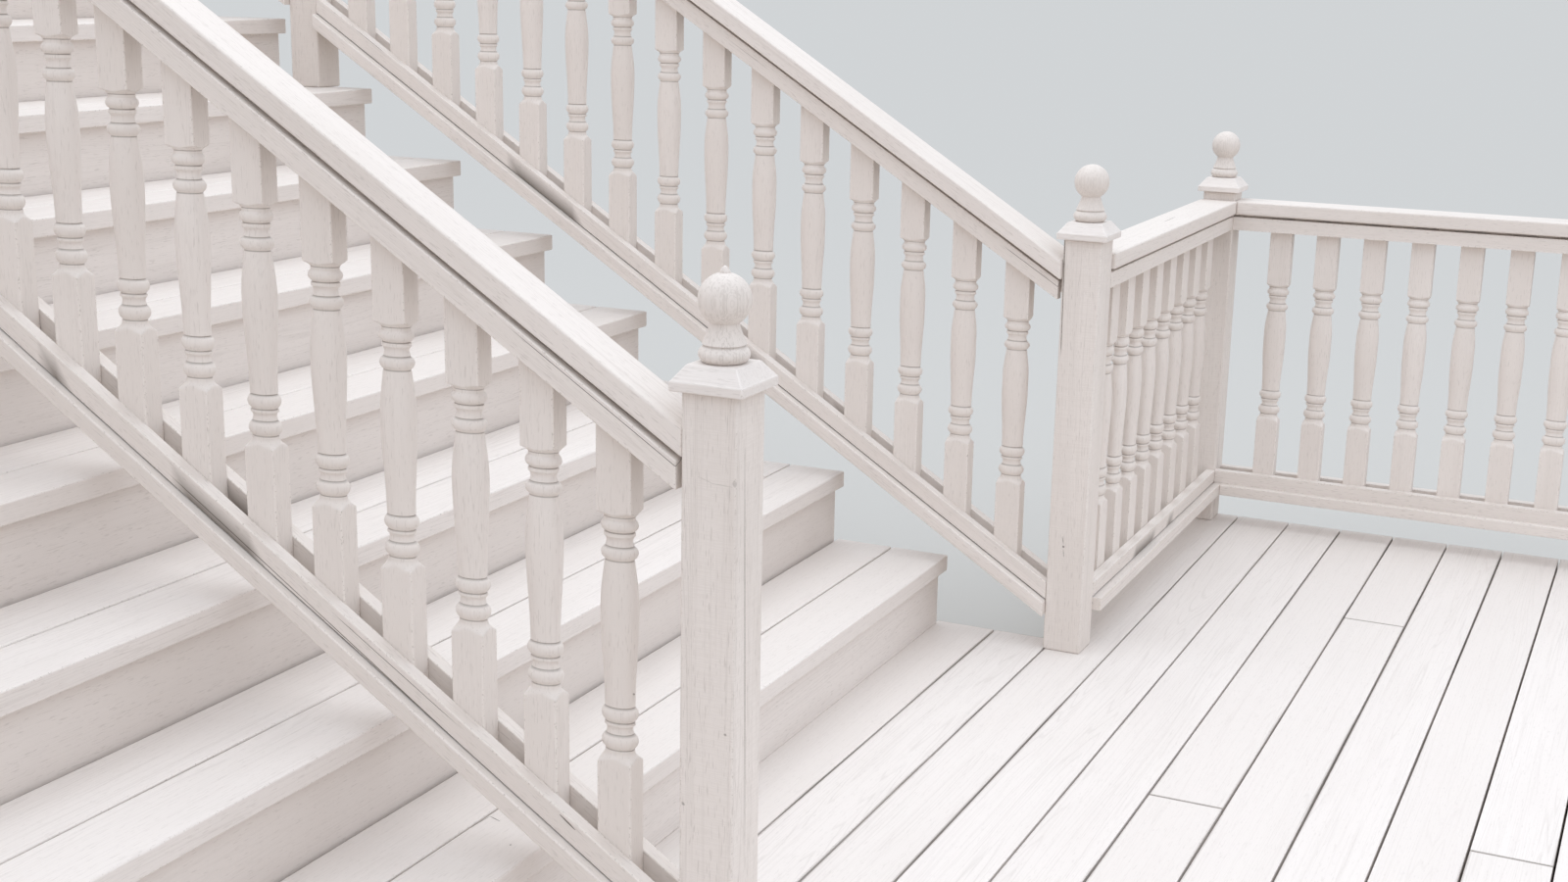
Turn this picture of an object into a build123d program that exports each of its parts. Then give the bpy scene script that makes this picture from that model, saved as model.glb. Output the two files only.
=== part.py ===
"""Wooden deck stairs: a wide closed-riser flight that comes down onto a low L-shaped deck.

Three raked railings run up the flight and a level railing turns round the deck.
Millimetres. While it is built, X points down the flight, Y runs along the treads, Z is up,
the face of the lowest riser is at X 0, the far ends of the treads are at Y 0 and the
deck's surface is at Z 0. At the end everything moves so that the origin is the middle
of the footprint, on the ground.
"""

from build123d import *

import math
import os

# Flight
STEP_COUNT = 14
RISE = 170.0
RUN = 272.5
NOSING = 19.0
STAIR_WIDTH = 3632.0
TREAD_THICKNESS = 38.0
BOARD_WIDTH = 139.7
TREAD_JOINT = 4.8
RISER_THICKNESS = 19.0
RISER_END_INSET = 8.0
STRINGER_COUNT = 5
STRINGER_THICKNESS = 38.0
STRINGER_DEPTH = 286.0
LEG_WIDTH = 87.0

# Deck
DECK_THICKNESS = 38.0
DECK_JOINT = 4.8
MAIN_BOARD_COUNT = 14
FOOT_BOARD_COUNT = 5
FOOT_BOARD_OVERHANG = 12.0
MAIN_START_X = 286.0
JOIST_THICKNESS = 38.0
JOIST_DEPTH = 140.0
JOIST_SPACING = 406.0

# Posts
POST_WIDTH = 87.0
NEWEL_REVEAL = 35.0
DECK_POST_REVEAL = 23.0
POST_REVEAL = 63.0
OUTER_RAIL_INSET = 17.0
OUTER_NEWEL_X = 325.0
MIDDLE_NEWEL_X = 350.0
RAKE_POST_STEPS = (7, 14)
RAKE_POST_SETBACK = 166.0
CORNER_POST_Y = 1252.0
DECK_BAY = 1846.0

# Post caps and ball finials
CAP_WIDTH = 114.0
CAP_EDGE = 15.0
CAP_RISE = 22.0
CAP_TOP_WIDTH = 76.0
FINIAL_BASE_RADIUS = 36.5
FINIAL_BASE_HEIGHT = 28.0
FINIAL_BASE_ROUNDING = 4.0
FINIAL_NECK_RADIUS = 20.5
FINIAL_SHOULDER_RADIUS = 28.5
FINIAL_NECK_HEIGHT = 27.0
BALL_RADIUS = 38.0
BALL_RING_ANGLES = (-20, 20, 55)
BALL_CROWN_RADIUS = 8.0

# Rails: heights are upright, from the line of the riser corners on the rake, and from
# the deck on the level
OUTER_HANDRAIL_TOP = 1076.0
OUTER_HANDRAIL_WIDTH = 114.0
OUTER_FLAT_TOP = 293.0
MIDDLE_HANDRAIL_TOP = 1084.0
MIDDLE_HANDRAIL_WIDTH = 82.0
MIDDLE_FLAT_TOP = 307.0
MIDDLE_FLAT_RAIL_WIDTH = 118.0
LEVEL_HANDRAIL_TOP = 913.0
LEVEL_HANDRAIL_WIDTH = 103.0
LEVEL_FLAT_TOP = 113.0
FLAT_RAIL_WIDTH = 127.0
HANDRAIL_THICKNESS = 36.0
FLAT_RAIL_THICKNESS = 30.0
SIDE_BOARD_THICKNESS = 25.0
SIDE_BOARD_DEPTH = 36.0
SIDE_BOARD_DROP = 7.0
SIDE_BOARD_END_GAP = 8.0

# Balusters: the stock is wider along the rail than across it
BALUSTER_WIDTH = 58.0
BALUSTER_THICKNESS = 38.0
RAKE_BALUSTER_PITCH = 128.5
RETURN_BALUSTER_PITCH = 129.0
DECK_BALUSTER_PITCH = 125.0
RAKE_TURNING_FOOT = 481.0
LEVEL_TURNING_FOOT = 304.0
TURNING_LENGTH = 382.0
LOWER_COLLAR_LENGTH = 84.0
UPPER_COLLAR_LENGTH = 77.0
SWELL_DROP = 147.0
WAIST_SHARE = 0.83
TURNED_SIDES = 8

# What follows from the sizes above
SLOPE = RISE / RUN
RAKE_COS = math.cos(math.atan(SLOPE))
BOARD_PITCH = BOARD_WIDTH + DECK_JOINT
MAIN_END_X = MAIN_START_X + MAIN_BOARD_COUNT * BOARD_PITCH - DECK_JOINT
FOOT_START_X = MAIN_START_X - FOOT_BOARD_COUNT * BOARD_PITCH
GROUND_Z = -DECK_THICKNESS - JOIST_DEPTH
FAR_RAIL_Y = -OUTER_RAIL_INSET
NEAR_RAIL_Y = OUTER_RAIL_INSET - STAIR_WIDTH
MIDDLE_RAIL_Y = (FAR_RAIL_Y + NEAR_RAIL_Y) / 2
DECK_FAR_Y = CORNER_POST_Y + POST_WIDTH / 2
DECK_NEAR_Y = NEAR_RAIL_Y - POST_WIDTH / 2
RETURN_X = OUTER_NEWEL_X
NEWEL_HEIGHT = LEVEL_HANDRAIL_TOP + NEWEL_REVEAL
DECK_POST_HEIGHT = LEVEL_HANDRAIL_TOP + DECK_POST_REVEAL
SIDE_BOARD_OFFSET = (BALUSTER_THICKNESS + SIDE_BOARD_THICKNESS) / 2


def block(x0, x1, y0, y1, z0, z1):
    """A squared timber between two corners."""
    return Pos((x0 + x1) / 2, (y0 + y1) / 2, (z0 + z1) / 2) * Box(x1 - x0, y1 - y0, z1 - z0)


def upright_slice(points, y_centre, width):
    """A board cut to an outline in the XZ plane, centred on y_centre."""
    outline = make_face(Polyline(*[(x, z) for x, z in points], close=True))
    return Plane.XZ.offset(-y_centre) * extrude(outline, amount=width / 2, both=True)


def riser_face_x(step):
    return -(step - 1) * RUN


def tread_front_x(step):
    return riser_face_x(step) + NOSING


def tread_back_x(step):
    return tread_front_x(step) - 2 * BOARD_WIDTH - TREAD_JOINT


def pitch_z(x, height):
    """Height of a line on the rake, given its upright height over the riser corners."""
    return height - SLOPE * x


def tread(step):
    """Two boards side by side on one level."""
    top = step * RISE
    front = tread_front_x(step)
    back = tread_back_x(step)
    return [
        block(front - BOARD_WIDTH, front, -STAIR_WIDTH, 0, top - TREAD_THICKNESS, top),
        block(back, back + BOARD_WIDTH, -STAIR_WIDTH, 0, top - TREAD_THICKNESS, top),
    ]


def riser(step):
    """The upright board under a nosing, down to the level of the tread below."""
    face = riser_face_x(step)
    bottom = max(0, (step - 1) * RISE - TREAD_THICKNESS)
    return block(face - RISER_THICKNESS, face, RISER_END_INSET - STAIR_WIDTH, -RISER_END_INSET,
                 bottom, step * RISE - TREAD_THICKNESS)


def stringer_bottom_z(x):
    """Lower edge of a stringer, parallel to the line of its notch tips."""
    tip_height = RISE - TREAD_THICKNESS - SLOPE * RISER_THICKNESS
    return pitch_z(x, tip_height) - STRINGER_DEPTH / RAKE_COS


def stringer(y_centre):
    """A plank cut to a sawtooth, with its foot level on the deck."""
    toe_x = riser_face_x(1) - RISER_THICKNESS
    points = [(toe_x, 0)]
    for step in range(1, STEP_COUNT + 1):
        seat = step * RISE - TREAD_THICKNESS
        back = riser_face_x(step + 1) - RISER_THICKNESS
        if step == STEP_COUNT:
            back = tread_back_x(step)
        points += [(riser_face_x(step) - RISER_THICKNESS, seat), (back, seat)]
    points.append((back, stringer_bottom_z(back)))
    points.append((stringer_bottom_z(0) / SLOPE, 0))
    return upright_slice(points, y_centre, STRINGER_THICKNESS)


def stringer_lines():
    """Centre lines of the stringers, evenly spaced between the riser ends."""
    far = -RISER_END_INSET - STRINGER_THICKNESS / 2
    near = -STAIR_WIDTH - far
    return [far + (near - far) * i / (STRINGER_COUNT - 1) for i in range(STRINGER_COUNT)]


def rake_post_x(step):
    return tread_front_x(step) - RAKE_POST_SETBACK


def leg(step, y_centre):
    """A leg under a stringer, its top cut to the rake."""
    x0 = rake_post_x(step) - LEG_WIDTH / 2
    x1 = x0 + LEG_WIDTH
    outline = [(x0, GROUND_Z), (x1, GROUND_Z), (x1, stringer_bottom_z(x1)), (x0, stringer_bottom_z(x0))]
    return upright_slice(outline, y_centre, LEG_WIDTH)


def deck_board(index, start_x, near_y, far_y):
    x0 = start_x + index * BOARD_PITCH
    return block(x0, x0 + BOARD_WIDTH, near_y, far_y, -DECK_THICKNESS, 0)


def main_deck_boards():
    return [deck_board(i, MAIN_START_X, DECK_NEAR_Y, DECK_FAR_Y) for i in range(MAIN_BOARD_COUNT)]


def foot_deck_boards():
    return [deck_board(i, FOOT_START_X, DECK_NEAR_Y, FOOT_BOARD_OVERHANG) for i in range(FOOT_BOARD_COUNT)]


def joist_rows(near_y, far_y):
    """Joist centre lines, one at each end and the rest evenly no wider apart than the spacing."""
    first = near_y + JOIST_THICKNESS / 2
    last = far_y - JOIST_THICKNESS / 2
    gaps = math.ceil((last - first) / JOIST_SPACING)
    return [first + (last - first) * i / gaps for i in range(gaps + 1)]


def joist(x0, x1, y_centre):
    half = JOIST_THICKNESS / 2
    return block(x0, x1, y_centre - half, y_centre + half, GROUND_Z, -DECK_THICKNESS)


def long_joists():
    """Joists of the part that reaches under the foot of the flight."""
    x0 = FOOT_START_X + JOIST_THICKNESS
    x1 = MAIN_END_X - JOIST_THICKNESS
    return [joist(x0, x1, y) for y in joist_rows(DECK_NEAR_Y, FOOT_BOARD_OVERHANG)]


def short_joists():
    """Joists of the part beside the flight, beyond the last long one."""
    x0 = MAIN_START_X + JOIST_THICKNESS
    x1 = MAIN_END_X - JOIST_THICKNESS
    return [joist(x0, x1, y) for y in joist_rows(FOOT_BOARD_OVERHANG, DECK_FAR_Y)[1:]]


def deck_rims():
    """Boards that close the joists' ends."""
    def rim(x0, near_y, far_y):
        return block(x0, x0 + JOIST_THICKNESS, near_y, far_y, GROUND_Z, -DECK_THICKNESS)
    return [
        rim(MAIN_END_X - JOIST_THICKNESS, DECK_NEAR_Y, DECK_FAR_Y),
        rim(FOOT_START_X, DECK_NEAR_Y, FOOT_BOARD_OVERHANG),
        rim(MAIN_START_X, FOOT_BOARD_OVERHANG, DECK_FAR_Y),
    ]


def rake_post_top(step):
    """Posts on the flight rise above the handrail of the bay above them."""
    uphill_face = rake_post_x(step) - POST_WIDTH / 2
    return pitch_z(uphill_face, OUTER_HANDRAIL_TOP) + POST_REVEAL


def flight_posts(newel_x, y_centre):
    """Newel on the deck and posts on the treads, as (x, y, foot, top)."""
    posts = [(newel_x, y_centre, 0, NEWEL_HEIGHT)]
    posts += [(rake_post_x(s), y_centre, s * RISE, rake_post_top(s)) for s in RAKE_POST_STEPS]
    return posts


def level_posts():
    """Corner post of the deck and the post at the end of its bay."""
    return [
        (RETURN_X, CORNER_POST_Y, 0, DECK_POST_HEIGHT),
        (RETURN_X + DECK_BAY, CORNER_POST_Y, 0, DECK_POST_HEIGHT),
    ]


def post(place):
    x, y, foot, top = place
    half = POST_WIDTH / 2
    return block(x - half, x + half, y - half, y + half, foot, top)


def post_cap():
    """A square plate that slopes up to a flat for the finial, standing on Z 0."""
    plate = extrude(Rectangle(CAP_WIDTH, CAP_WIDTH), CAP_EDGE)
    slope = math.degrees(math.atan((CAP_WIDTH - CAP_TOP_WIDTH) / 2 / CAP_RISE))
    return plate + extrude(Pos(0, 0, CAP_EDGE) * Rectangle(CAP_WIDTH, CAP_WIDTH), CAP_RISE, taper=slope)


def closed_by(faces):
    """A solid closed by flat faces, each given by its corners."""
    return Solid(Shell([make_face(Polyline(*corners, close=True)) for corners in faces]))


def ring(z, half_x, half_y):
    """Corners of a turned section with flat sides, four of which face along X and Y."""
    corner = math.pi / TURNED_SIDES
    corners = []
    for side in range(TURNED_SIDES):
        turn = (2 * side + 1) * corner
        corners.append((half_x * math.cos(turn) / math.cos(corner), half_y * math.sin(turn) / math.cos(corner), z))
    return corners


def bands(rings):
    """The faces between each ring and the next."""
    faces = []
    for low, high in zip(rings, rings[1:]):
        for i in range(TURNED_SIDES):
            faces.append([low[i - 1], low[i], high[i], high[i - 1]])
    return faces


def ball_finial():
    """A turned base, a flared neck and a ball, in one piece, standing on Z 0."""
    neck_top = FINIAL_BASE_HEIGHT + FINIAL_NECK_HEIGHT
    ball_centre = neck_top + math.sqrt(BALL_RADIUS ** 2 - FINIAL_NECK_RADIUS ** 2)
    radii = [
        (0, FINIAL_BASE_RADIUS - FINIAL_BASE_ROUNDING),
        (FINIAL_BASE_HEIGHT / 2, FINIAL_BASE_RADIUS),
        (FINIAL_BASE_HEIGHT, FINIAL_SHOULDER_RADIUS),
        (neck_top, FINIAL_NECK_RADIUS),
    ]
    for angle in BALL_RING_ANGLES:
        turn = math.radians(angle)
        radii.append((ball_centre + BALL_RADIUS * math.sin(turn), BALL_RADIUS * math.cos(turn)))
    radii.append((ball_centre + BALL_RADIUS, BALL_CROWN_RADIUS))
    rings = [ring(z, radius, radius) for z, radius in radii]
    return closed_by([rings[0], rings[-1]] + bands(rings))


def rake_board(x0, x1, y_centre, width, top_height, thickness):
    """A board on the rake with plumb ends between two uprights."""
    drop = thickness / RAKE_COS
    outline = [
        (x0, pitch_z(x0, top_height)),
        (x1, pitch_z(x1, top_height)),
        (x1, pitch_z(x1, top_height - drop)),
        (x0, pitch_z(x0, top_height - drop)),
    ]
    return upright_slice(outline, y_centre, width)


def rake_bays(newel_x):
    """Clear stretches between the posts of a flight railing, as (low x, high x)."""
    half = POST_WIDTH / 2
    centres = [newel_x] + [rake_post_x(s) for s in RAKE_POST_STEPS]
    return [(upper + half, lower - half) for lower, upper in zip(centres, centres[1:])]


def rake_railing(newel_x, y_centre, handrail_width, handrail_top, flat_width, flat_top):
    """Boards and balusters of both bays of a railing on the flight."""
    handrails, side_boards, flat_rails, balusters = [], [], [], []
    underside = handrail_top - HANDRAIL_THICKNESS / RAKE_COS
    upper_top = underside - SIDE_BOARD_DROP / RAKE_COS
    lower_top = flat_top + SIDE_BOARD_DEPTH / RAKE_COS
    pattern = baluster(flat_top, underside, SLOPE, RAKE_TURNING_FOOT)
    for x0, x1 in rake_bays(newel_x):
        handrails.append(rake_board(x0, x1, y_centre, handrail_width, handrail_top, HANDRAIL_THICKNESS))
        flat_rails.append(rake_board(x0, x1, y_centre, flat_width, flat_top, FLAT_RAIL_THICKNESS))
        for side in (-1, 1):
            y = y_centre + side * SIDE_BOARD_OFFSET
            side_boards.append(rake_board(x0, x1 - SIDE_BOARD_END_GAP, y, SIDE_BOARD_THICKNESS,
                                          upper_top, SIDE_BOARD_DEPTH))
            side_boards.append(rake_board(x0, x1, y, SIDE_BOARD_THICKNESS, lower_top, SIDE_BOARD_DEPTH))
        for x in baluster_row(x0, x1, RAKE_BALUSTER_PITCH):
            balusters.append(Pos(x, y_centre, -SLOPE * x) * pattern)
    return handrails, side_boards, flat_rails, balusters


def baluster_row(start, end, pitch):
    """Baluster centres in a clear stretch, centred in it."""
    count = int((end - start) / pitch - 0.5)
    first = (start + end - (count - 1) * pitch) / 2
    return [first + i * pitch for i in range(count)]


def turned_section(z, share):
    """A ring of the turning, at this share of the stock's width and thickness."""
    return ring(z, share * BALUSTER_WIDTH / 2, share * BALUSTER_THICKNESS / 2)


def turned_rings(foot_z):
    """The turned middle: collars that taper to a waist, and a shaft that swells to the stock."""
    head_z = foot_z + TURNING_LENGTH
    return [
        turned_section(foot_z, 1),
        turned_section(foot_z + LOWER_COLLAR_LENGTH, WAIST_SHARE),
        turned_section(head_z - SWELL_DROP, 1),
        turned_section(head_z - UPPER_COLLAR_LENGTH, WAIST_SHARE),
        turned_section(head_z, 1),
    ]


def square_end(rim, level, slope):
    """Faces of a baluster's end, from its cut at this level and slope to the turning's outermost ring."""
    half_x = BALUSTER_WIDTH / 2
    half_y = BALUSTER_THICKNESS / 2
    rim_z = rim[0][2]
    corners = [(half_x, half_y), (-half_x, half_y), (-half_x, -half_y), (half_x, -half_y)]
    cut = [(x, y, level - slope * x) for x, y in corners]
    shoulder = [(x, y, rim_z) for x, y in corners]
    faces = [cut]
    for i in range(4):
        after = (i + 1) % 4
        faces.append([shoulder[i], rim[2 * i], rim[2 * i + 1]])
        faces.append([cut[i], cut[after], shoulder[after], rim[2 * after], rim[2 * i + 1], shoulder[i]])
    return faces


def baluster(bottom, top, slope, turning_foot):
    """A baluster about X 0, Y 0, its square ends cut to the rails' slope."""
    rings = turned_rings(turning_foot)
    return closed_by(square_end(rings[0], bottom, slope) + bands(rings) + square_end(rings[-1], top, slope))


def level_railing(start, end, pitch):
    """A level bay along X about Y 0, from post face to post face."""
    def board(y, width, top, thickness):
        return block(start, end, y - width / 2, y + width / 2, top - thickness, top)
    underside = LEVEL_HANDRAIL_TOP - HANDRAIL_THICKNESS
    pattern = baluster(LEVEL_FLAT_TOP, underside, 0, LEVEL_TURNING_FOOT)
    side_boards = []
    for y in (-SIDE_BOARD_OFFSET, SIDE_BOARD_OFFSET):
        side_boards.append(board(y, SIDE_BOARD_THICKNESS, underside - SIDE_BOARD_DROP, SIDE_BOARD_DEPTH))
        side_boards.append(board(y, SIDE_BOARD_THICKNESS, LEVEL_FLAT_TOP + SIDE_BOARD_DEPTH, SIDE_BOARD_DEPTH))
    return (
        [board(0, LEVEL_HANDRAIL_WIDTH, LEVEL_HANDRAIL_TOP, HANDRAIL_THICKNESS)],
        side_boards,
        [board(0, FLAT_RAIL_WIDTH, LEVEL_FLAT_TOP, FLAT_RAIL_THICKNESS)],
        [Pos(x, 0, 0) * pattern for x in baluster_row(start, end, pitch)],
    )


def placed(railing, place):
    """The same railing with every piece moved to its place."""
    return tuple([place * piece for piece in group] for group in railing)


def scribed(railing, neighbour):
    """A railing whose boards are notched round the boards that they meet at a post."""
    handrails, side_boards, flat_rails, balusters = railing
    met = [board for group in neighbour[:3] for board in group]
    return tuple([board - met for board in group] for group in (handrails, side_boards, flat_rails)) + (balusters,)


def all_nodes():
    """Every node's solids by name."""
    nodes = {}
    for step in range(1, STEP_COUNT + 1):
        nodes["tread_%02d" % step] = tread(step)
    nodes["riser_boards"] = [riser(step) for step in range(1, STEP_COUNT + 1)]
    nodes["stringers"] = [stringer(y) for y in stringer_lines()]
    for name, step in zip(("middle_legs", "top_legs"), RAKE_POST_STEPS):
        nodes[name] = [leg(step, y) for y in stringer_lines()]
    nodes["deck_boards_main"] = main_deck_boards()
    nodes["deck_boards_foot"] = foot_deck_boards()
    nodes["deck_joists_long"] = long_joists()
    nodes["deck_joists_short"] = short_joists()
    nodes["deck_rims"] = deck_rims()

    half_post = POST_WIDTH / 2
    along_return = Pos(RETURN_X, 0, 0) * Rot(0, 0, 90)
    along_deck = Pos(0, CORNER_POST_Y, 0)
    outer_boards = (OUTER_HANDRAIL_WIDTH, OUTER_HANDRAIL_TOP, FLAT_RAIL_WIDTH, OUTER_FLAT_TOP)
    middle_boards = (MIDDLE_HANDRAIL_WIDTH, MIDDLE_HANDRAIL_TOP, MIDDLE_FLAT_RAIL_WIDTH, MIDDLE_FLAT_TOP)
    railings = {
        "far": rake_railing(OUTER_NEWEL_X, FAR_RAIL_Y, *outer_boards),
        "middle": rake_railing(MIDDLE_NEWEL_X, MIDDLE_RAIL_Y, *middle_boards),
        "near": rake_railing(OUTER_NEWEL_X, NEAR_RAIL_Y, *outer_boards),
        "return": placed(level_railing(FAR_RAIL_Y + half_post, CORNER_POST_Y - half_post,
                                       RETURN_BALUSTER_PITCH), along_return),
        "deck": placed(level_railing(RETURN_X + half_post, RETURN_X + DECK_BAY - half_post,
                                     DECK_BALUSTER_PITCH), along_deck),
    }
    railings["return"] = scribed(railings["return"], railings["far"])
    railings["deck"] = scribed(railings["deck"], railings["return"])
    for name, (handrails, side_boards, flat_rails, balusters) in railings.items():
        nodes[name + "_handrail"] = handrails
        nodes[name + "_side_boards"] = side_boards
        nodes[name + "_bottom_rail"] = flat_rails
        nodes[name + "_balusters"] = balusters

    places = {
        "far_posts": flight_posts(OUTER_NEWEL_X, FAR_RAIL_Y),
        "middle_posts": flight_posts(MIDDLE_NEWEL_X, MIDDLE_RAIL_Y),
        "near_posts": flight_posts(OUTER_NEWEL_X, NEAR_RAIL_Y),
        "deck_posts": level_posts(),
    }
    for name, group in places.items():
        nodes[name] = [post(place) for place in group]
    cap, finial = post_cap(), ball_finial()
    tops = [Pos(x, y, top) for group in places.values() for x, y, foot, top in group]
    nodes["post_caps"] = [top * cap for top in tops]
    nodes["ball_finials"] = [top * Pos(0, 0, CAP_EDGE + CAP_RISE) * finial for top in tops]
    return nodes


def to_origin(nodes):
    """The move that puts the middle of the footprint, on the ground, at the origin."""
    boxes = [piece.bounding_box() for pieces in nodes.values() for piece in pieces]
    x = (min(b.min.X for b in boxes) + max(b.max.X for b in boxes)) / 2
    y = (min(b.min.Y for b in boxes) + max(b.max.Y for b in boxes)) / 2
    return Pos(-x, -y, -GROUND_Z)


def main():
    nodes = all_nodes()
    move = to_origin(nodes)
    os.makedirs("parts", exist_ok=True)
    for name, pieces in nodes.items():
        solids = [solid for piece in pieces for solid in (move * piece).solids()]
        export_step(Compound(solids), "parts/%s.step" % name)


main()
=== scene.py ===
"""Painted timber stairs that come down onto a low L-shaped deck.

Finishes the boards, posts, railings, turned balusters and ball-topped posts of the model:
eased edges, lighter from wear and a painted highlight, paint over grained wood, drying cracks,
the joints between boards, and painted shade in turned grooves and under seated boards.
Lengths are metres, in the frame of the model.
"""

import itertools
import math
import random

import bmesh
import bpy
from mathutils import Euler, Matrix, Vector, noise


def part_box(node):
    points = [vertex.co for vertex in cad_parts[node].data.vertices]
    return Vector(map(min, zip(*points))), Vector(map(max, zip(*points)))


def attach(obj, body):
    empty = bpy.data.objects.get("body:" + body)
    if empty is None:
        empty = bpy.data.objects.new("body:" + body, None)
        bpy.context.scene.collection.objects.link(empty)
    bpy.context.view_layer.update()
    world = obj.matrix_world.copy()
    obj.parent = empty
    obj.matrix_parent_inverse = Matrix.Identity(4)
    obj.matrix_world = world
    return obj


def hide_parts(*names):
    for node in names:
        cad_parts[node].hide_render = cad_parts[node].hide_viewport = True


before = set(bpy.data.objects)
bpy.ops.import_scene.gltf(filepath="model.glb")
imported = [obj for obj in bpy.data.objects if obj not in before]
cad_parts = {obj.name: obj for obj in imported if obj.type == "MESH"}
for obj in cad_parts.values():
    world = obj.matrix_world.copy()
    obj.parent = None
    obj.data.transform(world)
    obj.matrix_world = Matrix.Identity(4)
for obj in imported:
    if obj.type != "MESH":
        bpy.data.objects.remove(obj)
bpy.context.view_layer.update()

bl_info = {
    "name": "Painted Deck Stairs",
    "version": (1, 0, 0),
    "blender": (4, 5, 0),
    "location": "3D View > Sidebar > Deck Stairs",
    "description": "Finishes a timber flight and its deck with worn boards, turned balusters and paint",
    "category": "Object",
}

# How the model is made up
STEP_COUNT = 14
RAILINGS = ("far", "middle", "near", "return", "deck")
RAKED = ("far", "middle", "near")
FRAMING = ("stringers", "middle_legs", "top_legs", "deck_joists_long", "deck_joists_short", "deck_rims")
POST_GROUPS = ("far_posts", "middle_posts", "near_posts", "deck_posts")

# Reading the model's solids
MERGE_DISTANCE = 1e-5
FLAT_ANGLE = math.radians(0.5)
BOX_CORNERS = 8

# Two side boards are a pair where one lies straight above the other: how far apart their middles are
# in X and Y at most, and in height at least
PAIR_X = 0.05
PAIR_Y = 0.005
PAIR_RISE = 0.3

# A board's section: the steps in a rounded corner, and the least radius
CORNER_STEPS = 2
LEAST_EASE = 0.0002

# How the rounding changes along a board: waves and nicks per metre, how deep a nick is against the
# wander, and the level of the noise at which a nick starts
WAVE_RATE = 3.1
NICK_RATE = 17.0
NICK_DEPTH = 1.1
NICK_START = 0.32

# The share of the rounding at which a board's end has its middle ring
END_RING = 0.3

# How many times longer than on other boards the stretches between a riser's sections are
RISER_STATIONS = 4

# A carved board's face is part of its rounding where it is smaller than a square this many radii wide
SMALL_FACE = 4

# Boards that are made of two lengths: a place on the board, and where the butt joint lies along it
BUTT_JOINTS = ((1.543, 0.434), (2.123, 0.465), (1.684, 1.686))
BUTT_GAP = 0.0034

# The gap under the boards that are nailed to the balusters' feet, and how far up their faces the painted
# shade of that gap reaches
SEAT_GAP = Vector((0.0, 0.0, 0.0018))
SEAT_SHADE_REACH = 0.0015

# How dark the painted shade is in the turner's grooves, where 1 is the dark of the painted shade at a joint
GROOVE_SHADE = 0.60
FINIAL_GROOVE_SHADE = 0.25

# Single cracks and dents: where each starts and ends on the model, its half width, and how dark it is
POST_FLAWS = (
    ((1.1453, -0.6369, 0.450), (1.1453, -0.6547, 1.050), 0.0011, 0.9),
    ((1.0630, -0.6780, 0.5180), (1.0672, -0.6780, 0.5150), 0.0024, 0.6),
    ((1.1300, -0.6780, 0.6362), (1.1338, -0.6780, 0.6344), 0.0020, 0.7),
    ((1.1415, -0.6780, 1.0085), (1.1425, -0.6775, 0.9995), 0.0032, 0.35),
    ((1.0850, -0.6780, 1.0078), (1.1095, -0.6780, 0.9998), 0.0006, 0.25),
    ((1.1075, -0.6780, 1.0004), (1.1390, -0.6780, 0.9990), 0.0007, 0.25),
    ((1.0685, 1.1210, 0.4300), (1.0712, 1.1210, 0.4262), 0.0026, 1.0),
    ((1.0697, 1.1210, 0.4340), (1.0660, 1.1210, 0.4520), 0.0007, 0.9),
    ((1.0697, 1.1210, 0.4225), (1.0720, 1.1210, 0.4040), 0.0007, 0.9),
)
RAIL_FLAWS = (
    ((0.8560, -0.6785, 0.4552), (0.8832, -0.6785, 0.4357), 0.0014, 1.0),
)
TURNED_FLAWS = (
    ((0.9592, -0.6345, 0.6500), (0.9732, -0.6588, 0.6608), 0.0034, 0.8),
)
TREAD_FLAWS = (
    ((0.6293, -0.6121, 0.3480), (0.6354, -0.5384, 0.3480), 0.0010, 0.9),
    ((0.6354, -0.5384, 0.3480), (0.6597, -0.5466, 0.3480), 0.0010, 0.9),
    ((0.7214, -0.6118, 0.3480), (0.7240, -0.6110, 0.3480), 0.0022, 0.9),
)

# The photograph's camera
CAMERA_PLACE = (2.3013, -2.9729, 1.6919)
CAMERA_TURN = (76.3144, -1.0343, 25.5707)
CAMERA_LENS = 44.63
CAMERA_SENSOR = 36.0
CAMERA_REACH = 600.0

# The studio: half the floor's width, the lamp's width, place and aim, and how high in the sky, from
# 0 to 1, the overhead light is full
FLOOR_REACH = 300.0
LAMP_SIZE = 4.0
LAMP_PLACE = (-0.8, 1.2, 6.5)
LAMP_AIM = (0.2, 0.2, 0.8)
SKY_FULL = 0.85


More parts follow.
